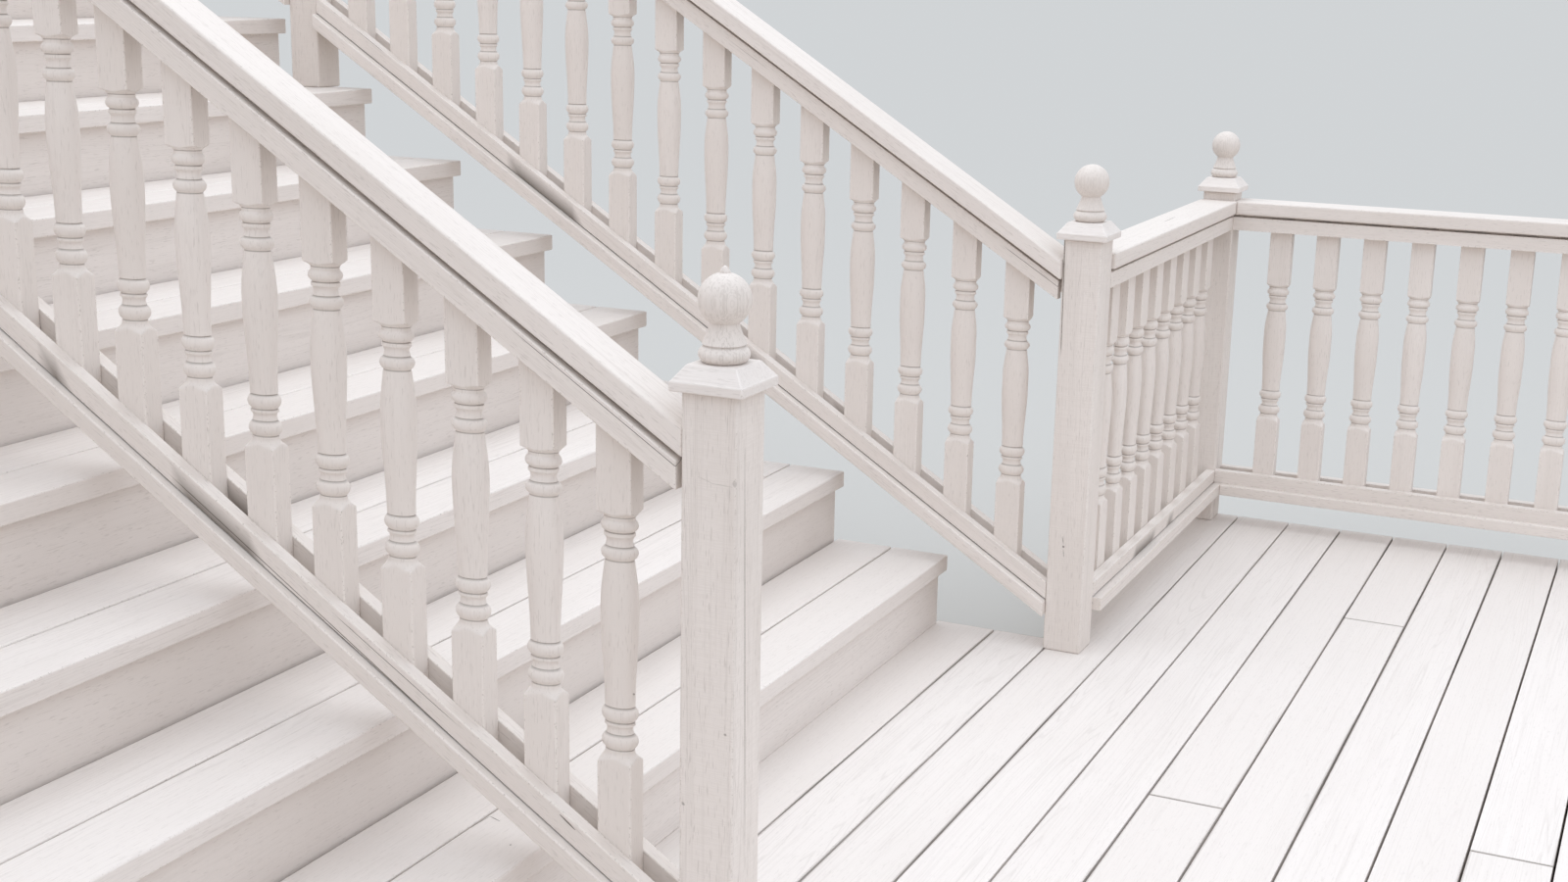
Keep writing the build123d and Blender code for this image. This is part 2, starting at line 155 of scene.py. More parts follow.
class TimberSizes(bpy.types.PropertyGroup):
    """Sizes of the worn edges and of the lengths that boards are divided into."""

    board_ease: bpy.props.FloatProperty(
        name="Tread edge", description="Rounding of the long edges of the tread boards",
        default=0.0030, min=0.0005, max=0.01, unit="LENGTH", precision=4)
    deck_ease: bpy.props.FloatProperty(
        name="Deck board edge", description="Rounding of the long edges of the deck boards",
        default=0.0008, min=0.0003, max=0.01, unit="LENGTH", precision=4)
    rail_ease: bpy.props.FloatProperty(
        name="Raked handrail edge", description="Rounding of the edges of the handrails on the flight",
        default=0.0040, min=0.0005, max=0.012, unit="LENGTH", precision=4)
    level_ease: bpy.props.FloatProperty(
        name="Level handrail edge", description="Rounding of the edges of the handrails on the deck",
        default=0.0080, min=0.0005, max=0.014, unit="LENGTH", precision=4)
    flat_ease: bpy.props.FloatProperty(
        name="Bottom rail edge", description="Rounding of the edges of the bottom rails",
        default=0.0030, min=0.0005, max=0.012, unit="LENGTH", precision=4)
    trim_ease: bpy.props.FloatProperty(
        name="Trim edge", description="Rounding of the edges of the narrow side boards",
        default=0.0018, min=0.0003, max=0.006, unit="LENGTH", precision=4)
    post_ease: bpy.props.FloatProperty(
        name="Post edge", description="Rounding of the upright edges of the posts",
        default=0.0040, min=0.0005, max=0.012, unit="LENGTH", precision=4)
    framing_ease: bpy.props.FloatProperty(
        name="Framing edge", description="Rounding of the edges of stringers, legs, joists and rims",
        default=0.0025, min=0.0005, max=0.008, unit="LENGTH", precision=4)
    station: bpy.props.FloatProperty(
        name="Station", description="Length of board between two sections, so that its edge can wander",
        default=0.045, min=0.01, max=0.3, unit="LENGTH")
    wander: bpy.props.FloatProperty(
        name="Edge wander", description="How much the rounding of an edge varies along a board",
        default=0.55, min=0.0, max=1.0, subtype="FACTOR")


class TurningSizes(bpy.types.PropertyGroup):
    """Sizes of the turned middle of a baluster and of the ball finials."""

    head_depth: bpy.props.FloatProperty(
        name="Turning length", description="Height of the turned middle between the square ends",
        default=0.3865, min=0.1, max=0.8, unit="LENGTH")
    finial_sides: bpy.props.IntProperty(
        name="Finial sides", description="Sides of a ball finial",
        default=48, min=12, max=96)
    tip_height: bpy.props.FloatProperty(
        name="Tip", description="Height of the turner's tip left on the middle newel's ball",
        default=0.010, min=0.0, max=0.02, unit="LENGTH")


class PaintColours(bpy.types.PropertyGroup):
    """Colours of the paints and of the bare timber."""

    rails: bpy.props.FloatVectorProperty(
        name="Rail paint", description="Paint on the posts, rails and balusters",
        default=(0.790, 0.728, 0.680), min=0.0, max=1.0, size=3, subtype="COLOR")
    treads: bpy.props.FloatVectorProperty(
        name="Tread paint", description="Paint on the treads and deck boards",
        default=(0.800, 0.745, 0.705), min=0.0, max=1.0, size=3, subtype="COLOR")
    risers: bpy.props.FloatVectorProperty(
        name="Riser paint", description="Paint on the riser boards",
        default=(0.780, 0.722, 0.680), min=0.0, max=1.0, size=3, subtype="COLOR")
    timber: bpy.props.FloatVectorProperty(
        name="Framing timber", description="Bare treated timber under the flight and the deck",
        default=(0.380, 0.310, 0.230), min=0.0, max=1.0, size=3, subtype="COLOR")
    # Also the colour of the painted shade in grooves and under seated side boards
    crack: bpy.props.FloatVectorProperty(
        name="Crack", description="Colour down in a drying crack",
        default=(0.110, 0.085, 0.065), min=0.0, max=1.0, size=3, subtype="COLOR")


class StudioSettings(bpy.types.PropertyGroup):
    """Floor and light of the plain studio."""

    floor: bpy.props.FloatVectorProperty(
        name="Floor", description="Colour of the floor as it is seen",
        default=(0.500, 0.490, 0.465), min=0.0, max=1.0, size=3, subtype="COLOR")
    ground: bpy.props.FloatVectorProperty(
        name="Ground light", description="Colour of the light that the floor throws back up",
        default=(0.420, 0.385, 0.345), min=0.0, max=1.0, size=3, subtype="COLOR")
    backdrop: bpy.props.FloatVectorProperty(
        name="Backdrop", description="Colour of the backdrop as it is seen",
        default=(0.590, 0.610, 0.610), min=0.0, max=1.0, size=3, subtype="COLOR")
    sky: bpy.props.FloatVectorProperty(
        name="Overhead light", description="Colour of the light from above",
        default=(1.410, 1.505, 1.630), min=0.0, max=2.0, size=3, subtype="COLOR")
    level: bpy.props.FloatVectorProperty(
        name="Side light", description="Colour of the light from the sides",
        default=(0.790, 0.770, 0.805), min=0.0, max=2.0, size=3, subtype="COLOR")
    lamp_power: bpy.props.FloatProperty(
        name="Lamp power", description="Power of the large lamp over the flight, in watts",
        default=50.0, min=0.0, max=20000.0, unit="POWER")


class Value:
    """A value in a material's node tree. Python arithmetic on it adds the Math nodes."""

    def __init__(self, paint, socket):
        self.paint = paint
        self.socket = socket

    def maths(self, operation, *others):
        return self.paint.maths(operation, self, *others)

    def __add__(self, other):
        return self.maths("ADD", other)

    __radd__ = __add__

    def __sub__(self, other):
        return self.maths("SUBTRACT", other)

    def __rsub__(self, other):
        return self.paint.maths("SUBTRACT", other, self)

    def __mul__(self, other):
        return self.maths("MULTIPLY", other)

    __rmul__ = __mul__

    def __truediv__(self, other):
        return self.maths("DIVIDE", other)

    def __rtruediv__(self, other):
        return self.paint.maths("DIVIDE", other, self)

    def __abs__(self):
        return self.maths("ABSOLUTE")

    def __or__(self, other):
        return self.maths("MAXIMUM", other)

    def __and__(self, other):
        return self.maths("MINIMUM", other)

    def rise(self, low, high):
        """0 below low and 1 above high, with a smooth rise between; or a fall, where low is above high."""
        if low > high:
            return 1.0 - self.rise(high, low)
        return self.paint.node("ShaderNodeMapRange", {"interpolation_type": "SMOOTHSTEP"},
                               {"Value": self, "From Min": low, "From Max": high})


class Paint:
    """A material's node tree, and the one method that adds any node to it."""

    def __init__(self, name, owner=None):
        self.material = owner or bpy.data.materials.new(name)
        self.material.use_nodes = True
        self.tree = self.material.node_tree
        self.tree.nodes.clear()

    def node(self, kind, settings=None, sockets=None, output=0):
        """Adds a node, sets its settings, then its sockets' values or links, and gives one output."""
        made = self.tree.nodes.new(kind)
        for key, value in (settings or {}).items():
            setattr(made, key, value)
        for key, value in (sockets or {}).items():
            if isinstance(value, Value):
                self.tree.links.new(value.socket, made.inputs[key])
            else:
                made.inputs[key].default_value = value
        return Value(self, made.outputs[output])

    def maths(self, operation, *values):
        return self.node("ShaderNodeMath", {"operation": operation}, dict(enumerate(values)))

    def vector(self, operation, *values, output=0):
        return self.node("ShaderNodeVectorMath", {"operation": operation}, dict(enumerate(values)), output)

    def parts(self, vector):
        """The three numbers of a vector."""
        return [self.node("ShaderNodeSeparateXYZ", None, {0: vector}, i) for i in range(3)]

    def mix(self, factor, first, second):
        """Mixes two colours; factor 0 gives the first."""
        return self.node("ShaderNodeMix", {"data_type": "RGBA"}, {"Factor": factor, 6: first, 7: second}, 2)

    def attribute(self, name, output="Vector"):
        made = self.node("ShaderNodeAttribute", {"attribute_name": name})
        made.socket = made.socket.node.outputs[output]
        return made

    def noise(self, vector, detail, scale=1.0, roughness=0.55):
        return self.node("ShaderNodeTexNoise", None, {
            "Vector": vector, "Scale": scale, "Detail": detail, "Roughness": roughness})

    def seen(self):
        """1 for rays of the camera, and those that gloss or glass sends on, and 0 for light on the object."""
        rays = [self.node("ShaderNodeLightPath", None, None, "Is %s Ray" % kind)
                for kind in ("Camera", "Glossy", "Transmission")]
        return rays[0] | rays[1] | rays[2]

    def flaws(self, flaws):
        """How dark each place is from single flaws, tapering lines between two points of the model."""
        place = self.node("ShaderNodeTexCoord", None, None, "Object")
        ragged = 0.6 + 0.8 * self.noise(place, scale=300.0, detail=2.0)
        total = 0.0
        for start, end, half_width, depth in flaws:
            along = Vector(end) - Vector(start)
            offset = self.vector("SUBTRACT", place, start)
            share = self.vector("DOT_PRODUCT", offset, tuple(along / along.length_squared), output="Value")
            share = (share | 0.0) & 1.0
            nearest = self.vector("MULTIPLY", share, tuple(along))
            gap = self.vector("DISTANCE", offset, nearest, output="Value")
            width = (share * (1.0 - share) * 3.0 + 0.25) * half_width * ragged
            total = (gap / width).rise(1.3, 0.6) * depth + total
        return total & 1.0

    def finish(self, colour, roughness, height, relief, specular=0.4):
        """Ends the tree in a Principled shader with a bump of that relief, in metres."""
        normal = self.node("ShaderNodeBump", None, {"Height": height, "Distance": relief, "Strength": 1.0})
        shader = self.node("ShaderNodeBsdfPrincipled", None, {
            "Base Color": colour, "Roughness": roughness, "Normal": normal, "Specular IOR Level": specular})
        self.node_output(shader)
        return self.material

    def node_output(self, shader):
        made = self.tree.nodes.new("ShaderNodeOutputMaterial")
        self.tree.links.new(shader.socket, made.inputs["Surface"])


def rgba(colour):
    return (*colour, 1.0)


def darker(colour, factor, warmth=0.0):
    """A colour times a factor, with a little less blue than red where warmth is above 0."""
    return (colour[0] * factor, colour[1] * factor * (1 - warmth / 2), colour[2] * factor * (1 - warmth), 1.0)


def painted_wood(name, colour, crack_and_shade_colour, grain, grime, rough, cracks=0.0, sawn=0.0, fibre=0.35,
                 joint=0.0, flaws=()):
    """Worn paint over softwood. It follows each timber's own length through its attributes.

    place is the point measured from the timber's middle, along its grain first; half holds the
    timber's half sizes; lot holds three random numbers for each timber; seam is painted shade in
    turned grooves and under seated side boards. cracks is how far the drying cracks have opened,
    and 0 leaves them out. sawn is how much the saw's marks across the grain show, fibre the short
    fibres along it, and joint the grime along the board's long edges and at its ends. flaws are the
    places of single cracks and dents.
    """
    paint = Paint(name)
    place = paint.attribute("place")
    half = paint.attribute("half")
    lot = paint.attribute("lot")
    shifted = paint.vector("MULTIPLY_ADD", lot, (7.0, 3.0, 3.0), place)

    def stretched(along, across):
        """The timber's own place, scaled along and across its grain."""
        return paint.vector("MULTIPLY", shifted, (along, across, across))

    # Rings of the wood as long streaks and thin lines, then its fibres, and blotches and flecks of dirt
    streaks = paint.noise(stretched(1.1, 34.0), detail=2.0, roughness=0.62)
    rings = paint.noise(stretched(0.5, 19.0), detail=1.0)
    ring_lines = abs(paint.maths("FRACT", rings * 26.0) - 0.5).rise(0.17, 0.03)
    fine = paint.noise(stretched(3.5, 190.0), detail=2.0, roughness=0.6)
    blotch = paint.noise(stretched(1.7, 5.5), detail=2.0)
    speck = paint.noise(shifted, scale=260.0, detail=1.0, roughness=0.7)
    fleck = paint.noise(stretched(45.0, 420.0), detail=1.0, roughness=0.7)

    # Drying cracks: straight hairlines along the grain, only where a slow pattern lets them open
    crack = 0.0
    if cracks:
        split = paint.node("ShaderNodeTexVoronoi", {"feature": "DISTANCE_TO_EDGE"},
                           {"Vector": stretched(0.22, 15.0), "Scale": 1.0})
        opening = paint.noise(stretched(1.7, 9.0), detail=1.0)
        crack = split.rise(0.011, 0.004) * opening.rise(0.64 - 0.18 * cracks, 0.68 - 0.18 * cracks)
    if flaws:
        crack = paint.flaws(flaws) | crack

    # Distance to the timber's nearest edge
    gaps = paint.parts(paint.vector("SUBTRACT", half, paint.vector("ABSOLUTE", place)))
    widest = gaps[0] | gaps[1] | gaps[2]
    edge = gaps[0] + gaps[1] + gaps[2] - widest
    # The band along the edges, where the paint wears and a highlight is painted
    wear_and_highlight = (edge + 0.007 * (fine - 0.5)).rise(0.0050, 0.0010)
    chip = wear_and_highlight * speck.rise(0.60, 0.68)

    # Colour: the grain shows through as greyer lines, grime lies in flecks and cracks, and grooves and
    # the gaps under seated boards are painted with shade
    lines = streaks.rise(0.50, 0.66) * 0.15 + fine.rise(0.52, 0.62) * fibre
    lines = (lines + ring_lines * streaks.rise(0.42, 0.58) * 0.7) & 1.0
    tone = paint.mix(lines * grain, rgba(colour), darker(colour, 0.74, 0.04))
    tone = paint.mix(blotch.rise(0.42, 0.66) * grime, tone, darker(colour, 0.88, 0.03))
    tone = paint.mix(paint.parts(lot)[0] * 0.7, tone, darker(colour, 0.94, 0.02))
    # Edges painted lighter: partly paint rubbed thin, partly a painted highlight where the rounding catches
    # light
    tone = paint.mix(wear_and_highlight * 0.35, tone, darker(colour, 1.08))
    tone = paint.mix(fleck.rise(0.60, 0.72) * grime, tone, darker(colour, 0.66, 0.06))
    tone = paint.mix(chip * 0.65, tone, darker(colour, 0.60, 0.10))
    if joint:
        damp = (gaps[1] + 0.004 * (fine - 0.5)).rise(0.0045, 0.0005) * streaks.rise(0.46, 0.60)
        damp = damp | gaps[0].rise(0.0040, 0.0015)
        tone = paint.mix(damp * joint, tone, darker(colour, 0.42, 0.12))
    # Painted shade, from the seam attribute: the turned grooves and the gap under seated side boards
    tone = paint.mix(paint.attribute("seam", "Fac") * 0.82, tone, rgba(crack_and_shade_colour))
    if cracks or flaws:
        tone = paint.mix(crack * 0.85, tone, rgba(crack_and_shade_colour))

    height = speck * 0.15 - fine.rise(0.50, 0.62) * (0.4 * grain) - crack
    if sawn:
        ripple = paint.noise(stretched(620.0, 22.0), detail=1.0)
        tone = paint.mix(ripple.rise(0.44, 0.60) * sawn, tone, darker(colour, 0.88, 0.03))
        height = height + ripple * (0.30 * sawn)
    roughness = rough + 0.18 * lines + 0.12 * blotch
    return paint.finish(tone, roughness, height, PAINT_RELIEF)


def framing_timber(name, colour):
    """Bare treated timber of the framing, by the object's own coordinates."""
    paint = Paint(name)
    place = paint.node("ShaderNodeTexCoord", None, None, "Object")
    broad = paint.noise(paint.vector("MULTIPLY", place, (2.5, 6.0, 3.5)), detail=4.0)
    fine = paint.noise(paint.vector("MULTIPLY", place, (30.0, 60.0, 30.0)), detail=5.0, roughness=0.65)
    speck = paint.noise(place, scale=210.0, detail=3.0)
    tone = paint.mix(broad.rise(0.35, 0.68), rgba(colour), darker(colour, 0.72, 0.10))
    tone = paint.mix(fine.rise(0.50, 0.72) * 0.5, tone, darker(colour, 0.55, 0.12))
    tone = paint.mix(speck.rise(0.66, 0.78) * 0.4, tone, darker(colour, 0.45, 0.10))
    return paint.finish(tone, 0.72 + 0.15 * broad, fine * 0.6 + speck * 0.3, TIMBER_RELIEF, specular=0.25)


# How deep the bump of the painted and of the bare wood is, in metres
PAINT_RELIEF = 0.0006
TIMBER_RELIEF = 0.0008

# The paints by name: the colour that each starts from, and the values that painted_wood takes.
# None has the name of a slot, because the slots' plain colours are in the file before the paints
PAINTS = {
    "board_paint": ("rails", dict(grain=0.45, cracks=0.15, grime=0.50, rough=0.46, flaws=RAIL_FLAWS)),
    "turned_paint": ("rails", dict(grain=0.22, grime=0.35, rough=0.42, flaws=TURNED_FLAWS)),
    "finial_paint": ("rails", dict(grain=0.90, grime=0.30, rough=0.42, fibre=0.9)),
    # The caps take the lighter tread paint, a painted highlight for their lit tops
    "cap_paint": ("treads", dict(grain=0.50, grime=0.35, rough=0.44)),
    "post_paint": ("rails", dict(grain=0.45, cracks=0.35, grime=0.50, rough=0.48, sawn=0.30,
                                 flaws=POST_FLAWS)),
    "walked_paint": ("treads", dict(grain=0.40, grime=0.30, rough=0.50, flaws=TREAD_FLAWS)),
    "deck_paint": ("treads", dict(grain=0.45, grime=0.25, rough=0.50, joint=0.55)),
    "riser_paint": ("risers", dict(grain=0.30, grime=0.40, rough=0.55)),
}


def settings():
    """The timber sizes, the turning sizes, the paint colours and the studio's settings."""
    scene = bpy.context.scene
    return (scene.deck_stairs_timber, scene.deck_stairs_turning, scene.deck_stairs_paint,
            scene.deck_stairs_studio)


def material(name):
    """A paint by name, made the first time that it is asked for."""
    found = bpy.data.materials.get(name)
    if found:
        return found
    colours = settings()[2]
    if name == "framing_timber":
        return framing_timber(name, colours.timber)
    colour, values = PAINTS[name]
    return painted_wood(name, getattr(colours, colour), colours.crack, **values)


def solids(node):
    """The separate solids of a node, each as a mesh with its doubles merged and its flat faces whole."""
    whole = bmesh.new()
    whole.from_mesh(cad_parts[node].data)
    bmesh.ops.remove_doubles(whole, verts=whole.verts, dist=MERGE_DISTANCE)
    bmesh.ops.dissolve_limit(whole, angle_limit=FLAT_ANGLE, verts=whole.verts, edges=whole.edges)
    whole.verts.index_update()
    whole.verts.ensure_lookup_table()
    group_of = {}
    groups = []
    for start in whole.verts:
        if start.index in group_of:
            continue
        group = []
        waiting = [start]
        group_of[start.index] = len(groups)
        while waiting:
            vert = waiting.pop()
            group.append(vert.index)
            for link in vert.link_edges:
                other = link.other_vert(vert)
                if other.index not in group_of:
                    group_of[other.index] = len(groups)
                    waiting.append(other)
        groups.append(sorted(group))
    parts = []
    for number, group in enumerate(groups):
        renumbered = {old: new for new, old in enumerate(group)}
        points = [whole.verts[i].co.copy() for i in group]
        faces = [[renumbered[v.index] for v in f.verts] for f in whole.faces
                 if group_of[f.verts[0].index] == number]
        parts.append((points, faces))
    whole.free()
    return sorted(parts, key=lambda part: tuple(round(c, 4) for c in sum(part[0], Vector()) / len(part[0])))


def box_corners(points, along):
    """Corners of a board as [end][side][top], split along its length and then across."""
    order = {"X": (0, 1, 2), "Y": (1, 0, 2), "Z": (2, 0, 1)}[along]

    def split(group, axis):
        group = sorted(group, key=lambda p: p[axis])
        middle = len(group) // 2
        return group[:middle], group[middle:]

    return [[list(sorted(side, key=lambda p: p[order[2]])) for side in split(end, order[1])]
            for end in split(points, order[0])]


def rounded_section(width, height, radii):
    """Points round a rectangle from its corner at (0, 0), with its four corners rounded."""
    centres = ((0, 0, 180), (width, 0, 270), (width, height, 0), (0, height, 90))
    points = []
    for (x, y, start), radius in zip(centres, radii):
        inner_x = radius if x == 0 else width - radius
        inner_y = radius if y == 0 else height - radius
        for step in range(CORNER_STEPS + 1):
            angle = math.radians(start + 90 * step / CORNER_STEPS)
            points.append((inner_x + radius * math.cos(angle), inner_y + radius * math.sin(angle)))
    return points


class Piece:
    """A mesh in the making, with the values that its paint follows on every point."""

    def __init__(self, name, nodes, paint, slot):
        self.name = name
        self.nodes = nodes
        self.paint = paint
        self.slot = slot
        self.mesh = bmesh.new()
        self.place = self.mesh.verts.layers.float_vector.new("place")
        self.half = self.mesh.verts.layers.float_vector.new("half")
        self.lot = self.mesh.verts.layers.float_vector.new("lot")
        self.seam = self.mesh.verts.layers.float.new("seam")
        self.random = random.Random(name)

    def draw_lot(self):
        return Vector([self.random.random() for axis in range(3)])

    def point(self, position, place, half, lot):
        vert = self.mesh.verts.new(position)
        vert[self.place] = place
        vert[self.half] = half
        vert[self.lot] = lot
        return vert

    def skin(self, rings, half, lot, round_steps=0, seams=()):
        """Joins rings of (position, place) into a closed skin.

        Each side that follows a corner of round_steps steps is a flat face. The rings numbered in
        seams are grooves, painted with a little shade.
        """
        made = [[self.point(position, place, half, lot) for position, place in ring] for ring in rings]
        # The rings of a groove are painted with shade
        for number in seams:
            for vert in made[number]:
                vert[self.seam] = FINIAL_GROOVE_SHADE
        count = len(made[0])
        for low, high in zip(made, made[1:]):
            for i in range(count):
                j = (i + 1) % count
                face = self.mesh.faces.new((low[i], low[j], high[j], high[i]))
                face.smooth = not (round_steps and i % (round_steps + 1) == round_steps)
        self.mesh.faces.new(list(reversed(made[0])))
        self.mesh.faces.new(made[-1])
        return made

    def board(self, corners, ease, step, wander, seated=False):
        """A board between eight corners, its edges rounded by a radius that wanders along it.

        A seated board stands a small gap above the board below, and the foot of its faces is painted
        dark as the shade in that gap.
        """
        lot = self.draw_lot()
        if seated:
            corners = [[[side[0] + SEAT_GAP, side[1]] for side in end] for end in corners]
        start, end = corners
        length = (sum(end[0] + end[1], Vector()) / 4 - sum(start[0] + start[1], Vector()) / 4).length
        width = (start[1][0] - start[0][0]).length
        height = (start[0][1] - start[0][0]).length
        half = Vector((length, width, height)) / 2
        phases = [self.random.uniform(0, 100) for corner in range(4)]

        def position(s, a, b):
            ends = [p[0][0].lerp(p[1][0], a).lerp(p[0][1].lerp(p[1][1], a), b) for p in (start, end)]
            return ends[0].lerp(ends[1], s)

        def section(distance, inset):
            radii = []
            for phase in phases:
                wave = noise.noise(Vector((distance * WAVE_RATE, phase, 0.0)))
                nick = noise.noise(Vector((distance * NICK_RATE, phase, 5.0)))
                size = ease * (1 + wander * wave + NICK_DEPTH * wander * max(0.0, nick - NICK_START))
                radii.append(max(size - inset, LEAST_EASE))
            outline = rounded_section(width - 2 * inset, height - 2 * inset, radii)
            ring = []
            for a, b in outline:
                a, b = a + inset, b + inset
                ring.append((position(distance / length, a / width, b / height),
                             Vector((distance - half.x, a - half.y, b - half.z))))
            return ring

        count = max(1, round((length - 2 * ease) / step))
        ring = END_RING * ease
        stations = [(0.0, ease), (ring, ring)]
        stations += [(ease + (length - 2 * ease) * i / count, 0.0) for i in range(count + 1)]
        stations += [(length - ring, ring), (length, ease)]
        made = self.skin([section(*station) for station in stations], half, lot, CORNER_STEPS)
        # Painted shade: the foot of a seated board's faces is marked dark, as the shadow in the gap below it
        if seated:
            for vert in itertools.chain(*made):
                if vert[self.place].z < SEAT_SHADE_REACH - half.z:
                    vert[self.seam] = 1.0

    def carved(self, points, faces, along, ease):
        """A board of any outline, its edges rounded evenly. along is its grain's level direction."""
        lot = self.draw_lot()
        centre = sum(points, Vector()) / len(points)
        side = along.cross(Vector((0, 0, 1))).normalized()
        axes = (along, side, side.cross(along).normalized())
        spans = [[(p - centre).dot(axis) for p in points] for axis in axes]
        middle = [(min(span) + max(span)) / 2 for span in spans]
        half = Vector([(max(span) - min(span)) / 2 for span in spans])
        part = bmesh.new()
        verts = [part.verts.new(p) for p in points]
        for face in faces:
            part.faces.new([verts[i] for i in face])
        bmesh.ops.bevel(part, geom=list(part.edges), offset=ease, segments=2, profile=0.5,
                        affect="EDGES", clamp_overlap=True)
        part.verts.index_update()
        copies = []
        for vert in part.verts:
            place = Vector([(vert.co - centre).dot(axis) - m for axis, m in zip(axes, middle)])
            copies.append(self.point(vert.co.copy(), place, half, lot))
        for face in part.faces:
            made = self.mesh.faces.new([copies[v.index] for v in face.verts])
            made.smooth = face.calc_area() < (SMALL_FACE * ease) ** 2
        part.free()

    def object(self, sharp_angle=None):
        """Turns the mesh into an object, painted and standing for its nodes."""
        bmesh.ops.recalc_face_normals(self.mesh, faces=self.mesh.faces)
        data = bpy.data.meshes.new(self.name)
        self.mesh.to_mesh(data)
        self.mesh.free()
        if sharp_angle:
            data.set_sharp_from_angle(angle=sharp_angle)
        data.materials.append(material(self.paint))
        return place_piece(data, self.name, self.nodes)


def place_piece(data, name, nodes):
    piece = bpy.data.objects.new(name, data)
    bpy.context.scene.collection.objects.link(piece)
    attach(piece, "root")
    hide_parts(*nodes)
    return piece


def lerp_corners(corners, s):
    """The end section of a board's corners at a share s of its length."""
    return [[corners[0][i][j].lerp(corners[1][i][j], s) for j in range(2)] for i in range(2)]


def plain_boards(node, ending, paint, slot, along, ease, step):
    """Makes one piece of a node whose solids are all plain boards."""
    piece = Piece(node + ending, [node], paint, slot)
    for points, faces in solids(node):
        piece.board(box_corners(points, along), ease, step, settings()[0].wander)
    piece.object()


class DECKSTAIRS_OT_treads(bpy.types.Operator):
    """Make the treads: two worn boards to each step"""

    bl_idname = "deck_stairs.treads"
    bl_label = "Treads"

    def execute(self, context):
        sizes = settings()[0]
        for step in range(1, STEP_COUNT + 1):
            plain_boards("tread_%02d" % step, "_boards", "walked_paint", "tread_paint", "Y",
                         sizes.board_ease, sizes.station)
        return {"FINISHED"}


class DECKSTAIRS_OT_risers(bpy.types.Operator):
    """Make the riser boards that close the steps"""

    bl_idname = "deck_stairs.risers"
    bl_label = "Risers"

    def execute(self, context):
        sizes = settings()[0]
        plain_boards("riser_boards", "_painted", "riser_paint", "tread_paint", "Y",
                     sizes.trim_ease, RISER_STATIONS * sizes.station)
        return {"FINISHED"}


class DECKSTAIRS_OT_deck_boards(bpy.types.Operator):
    """Make the deck boards, cut where two lengths meet end to end"""

    bl_idname = "deck_stairs.deck_boards"
    bl_label = "Deck boards"

    def execute(self, context):
        sizes = settings()[0]
        for node in ("deck_boards_main", "deck_boards_foot"):
            piece = Piece(node + "_worn", [node], "deck_paint", "tread_paint")
            for points, faces in solids(node):
                corners = box_corners(points, "Y")
                for length in self.lengths(corners):
                    piece.board(length, sizes.deck_ease, sizes.station, sizes.wander)
            piece.object()
        return {"FINISHED"}

    def lengths(self, corners):
        """The board in one length, or cut at the butt joints that lie on it."""
        low_x, high_x = corners[0][0][0].x, corners[0][1][0].x
        start_y, end_y = corners[0][0][0].y, corners[1][0][0].y
        cuts = sorted(y for x, y in BUTT_JOINTS if low_x < x < high_x and start_y < y < end_y)
        ends = [start_y] + [y + side * BUTT_GAP / 2 for y in cuts for side in (-1, 1)] + [end_y]
        span = end_y - start_y
        return [[lerp_corners(corners, (a - start_y) / span), lerp_corners(corners, (b - start_y) / span)]
                for a, b in zip(ends[::2], ends[1::2])]


class DECKSTAIRS_OT_framing(bpy.types.Operator):
    """Ease and finish the timbers under the flight and the deck"""

    bl_idname = "deck_stairs.framing"
    bl_label = "Framing"

    def execute(self, context):
        sizes = settings()[0]
        for node in FRAMING:
            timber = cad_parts[node]
            weld = timber.modifiers.new("Weld", "WELD")
            weld.merge_threshold = MERGE_DISTANCE
            ease = timber.modifiers.new("Ease", "BEVEL")
            ease.width = sizes.framing_ease
            ease.segments = 2
            ease.limit_method = "ANGLE"
            timber.data.materials.clear()
            timber.data.materials.append(material("framing_timber"))
        return {"FINISHED"}


class DECKSTAIRS_OT_rails(bpy.types.Operator):
    """Make the handrails, bottom rails and the side boards that hold the balusters"""

    bl_idname = "deck_stairs.rails"
    bl_label = "Rails"

    def execute(self, context):
        sizes = settings()[0]
        for railing in RAILINGS:
            along = "Y" if railing == "return" else "X"
            kinds = (("handrail", sizes.rail_ease if railing in RAKED else sizes.level_ease),
                     ("bottom_rail", sizes.flat_ease), ("side_boards", sizes.trim_ease))
            for kind, ease in kinds:
                node = "%s_%s" % (railing, kind)
                piece = Piece(node + "_painted", [node], "board_paint", "rail_paint")
                parts = solids(node)
                for points, faces in parts:
                    if len(points) == BOX_CORNERS:
                        piece.board(box_corners(points, along), ease, sizes.station, sizes.wander,
                                    seated=kind == "side_boards" and self.is_lower(points, parts))
                    else:
                        piece.carved(points, faces, Vector((along == "X", along == "Y", 0)), ease)
                piece.object()
        return {"FINISHED"}

    def is_lower(self, points, parts):
        """Whether a board has another of its node straight above it, so that it lies on the bottom rail."""
        here = box_middle(points)
        ways = [box_middle(other) - here for other, faces in parts]
        return any(abs(way.x) < PAIR_X and abs(way.y) < PAIR_Y and way.z > PAIR_RISE for way in ways)


class DECKSTAIRS_OT_posts(bpy.types.Operator):
    """Make the newels and the other posts"""

    bl_idname = "deck_stairs.posts"
    bl_label = "Posts"

    def execute(self, context):
        sizes = settings()[0]
        for node in POST_GROUPS:
            plain_boards(node, "_painted", "post_paint", "rail_paint", "Z", sizes.post_ease, sizes.station)
        return {"FINISHED"}


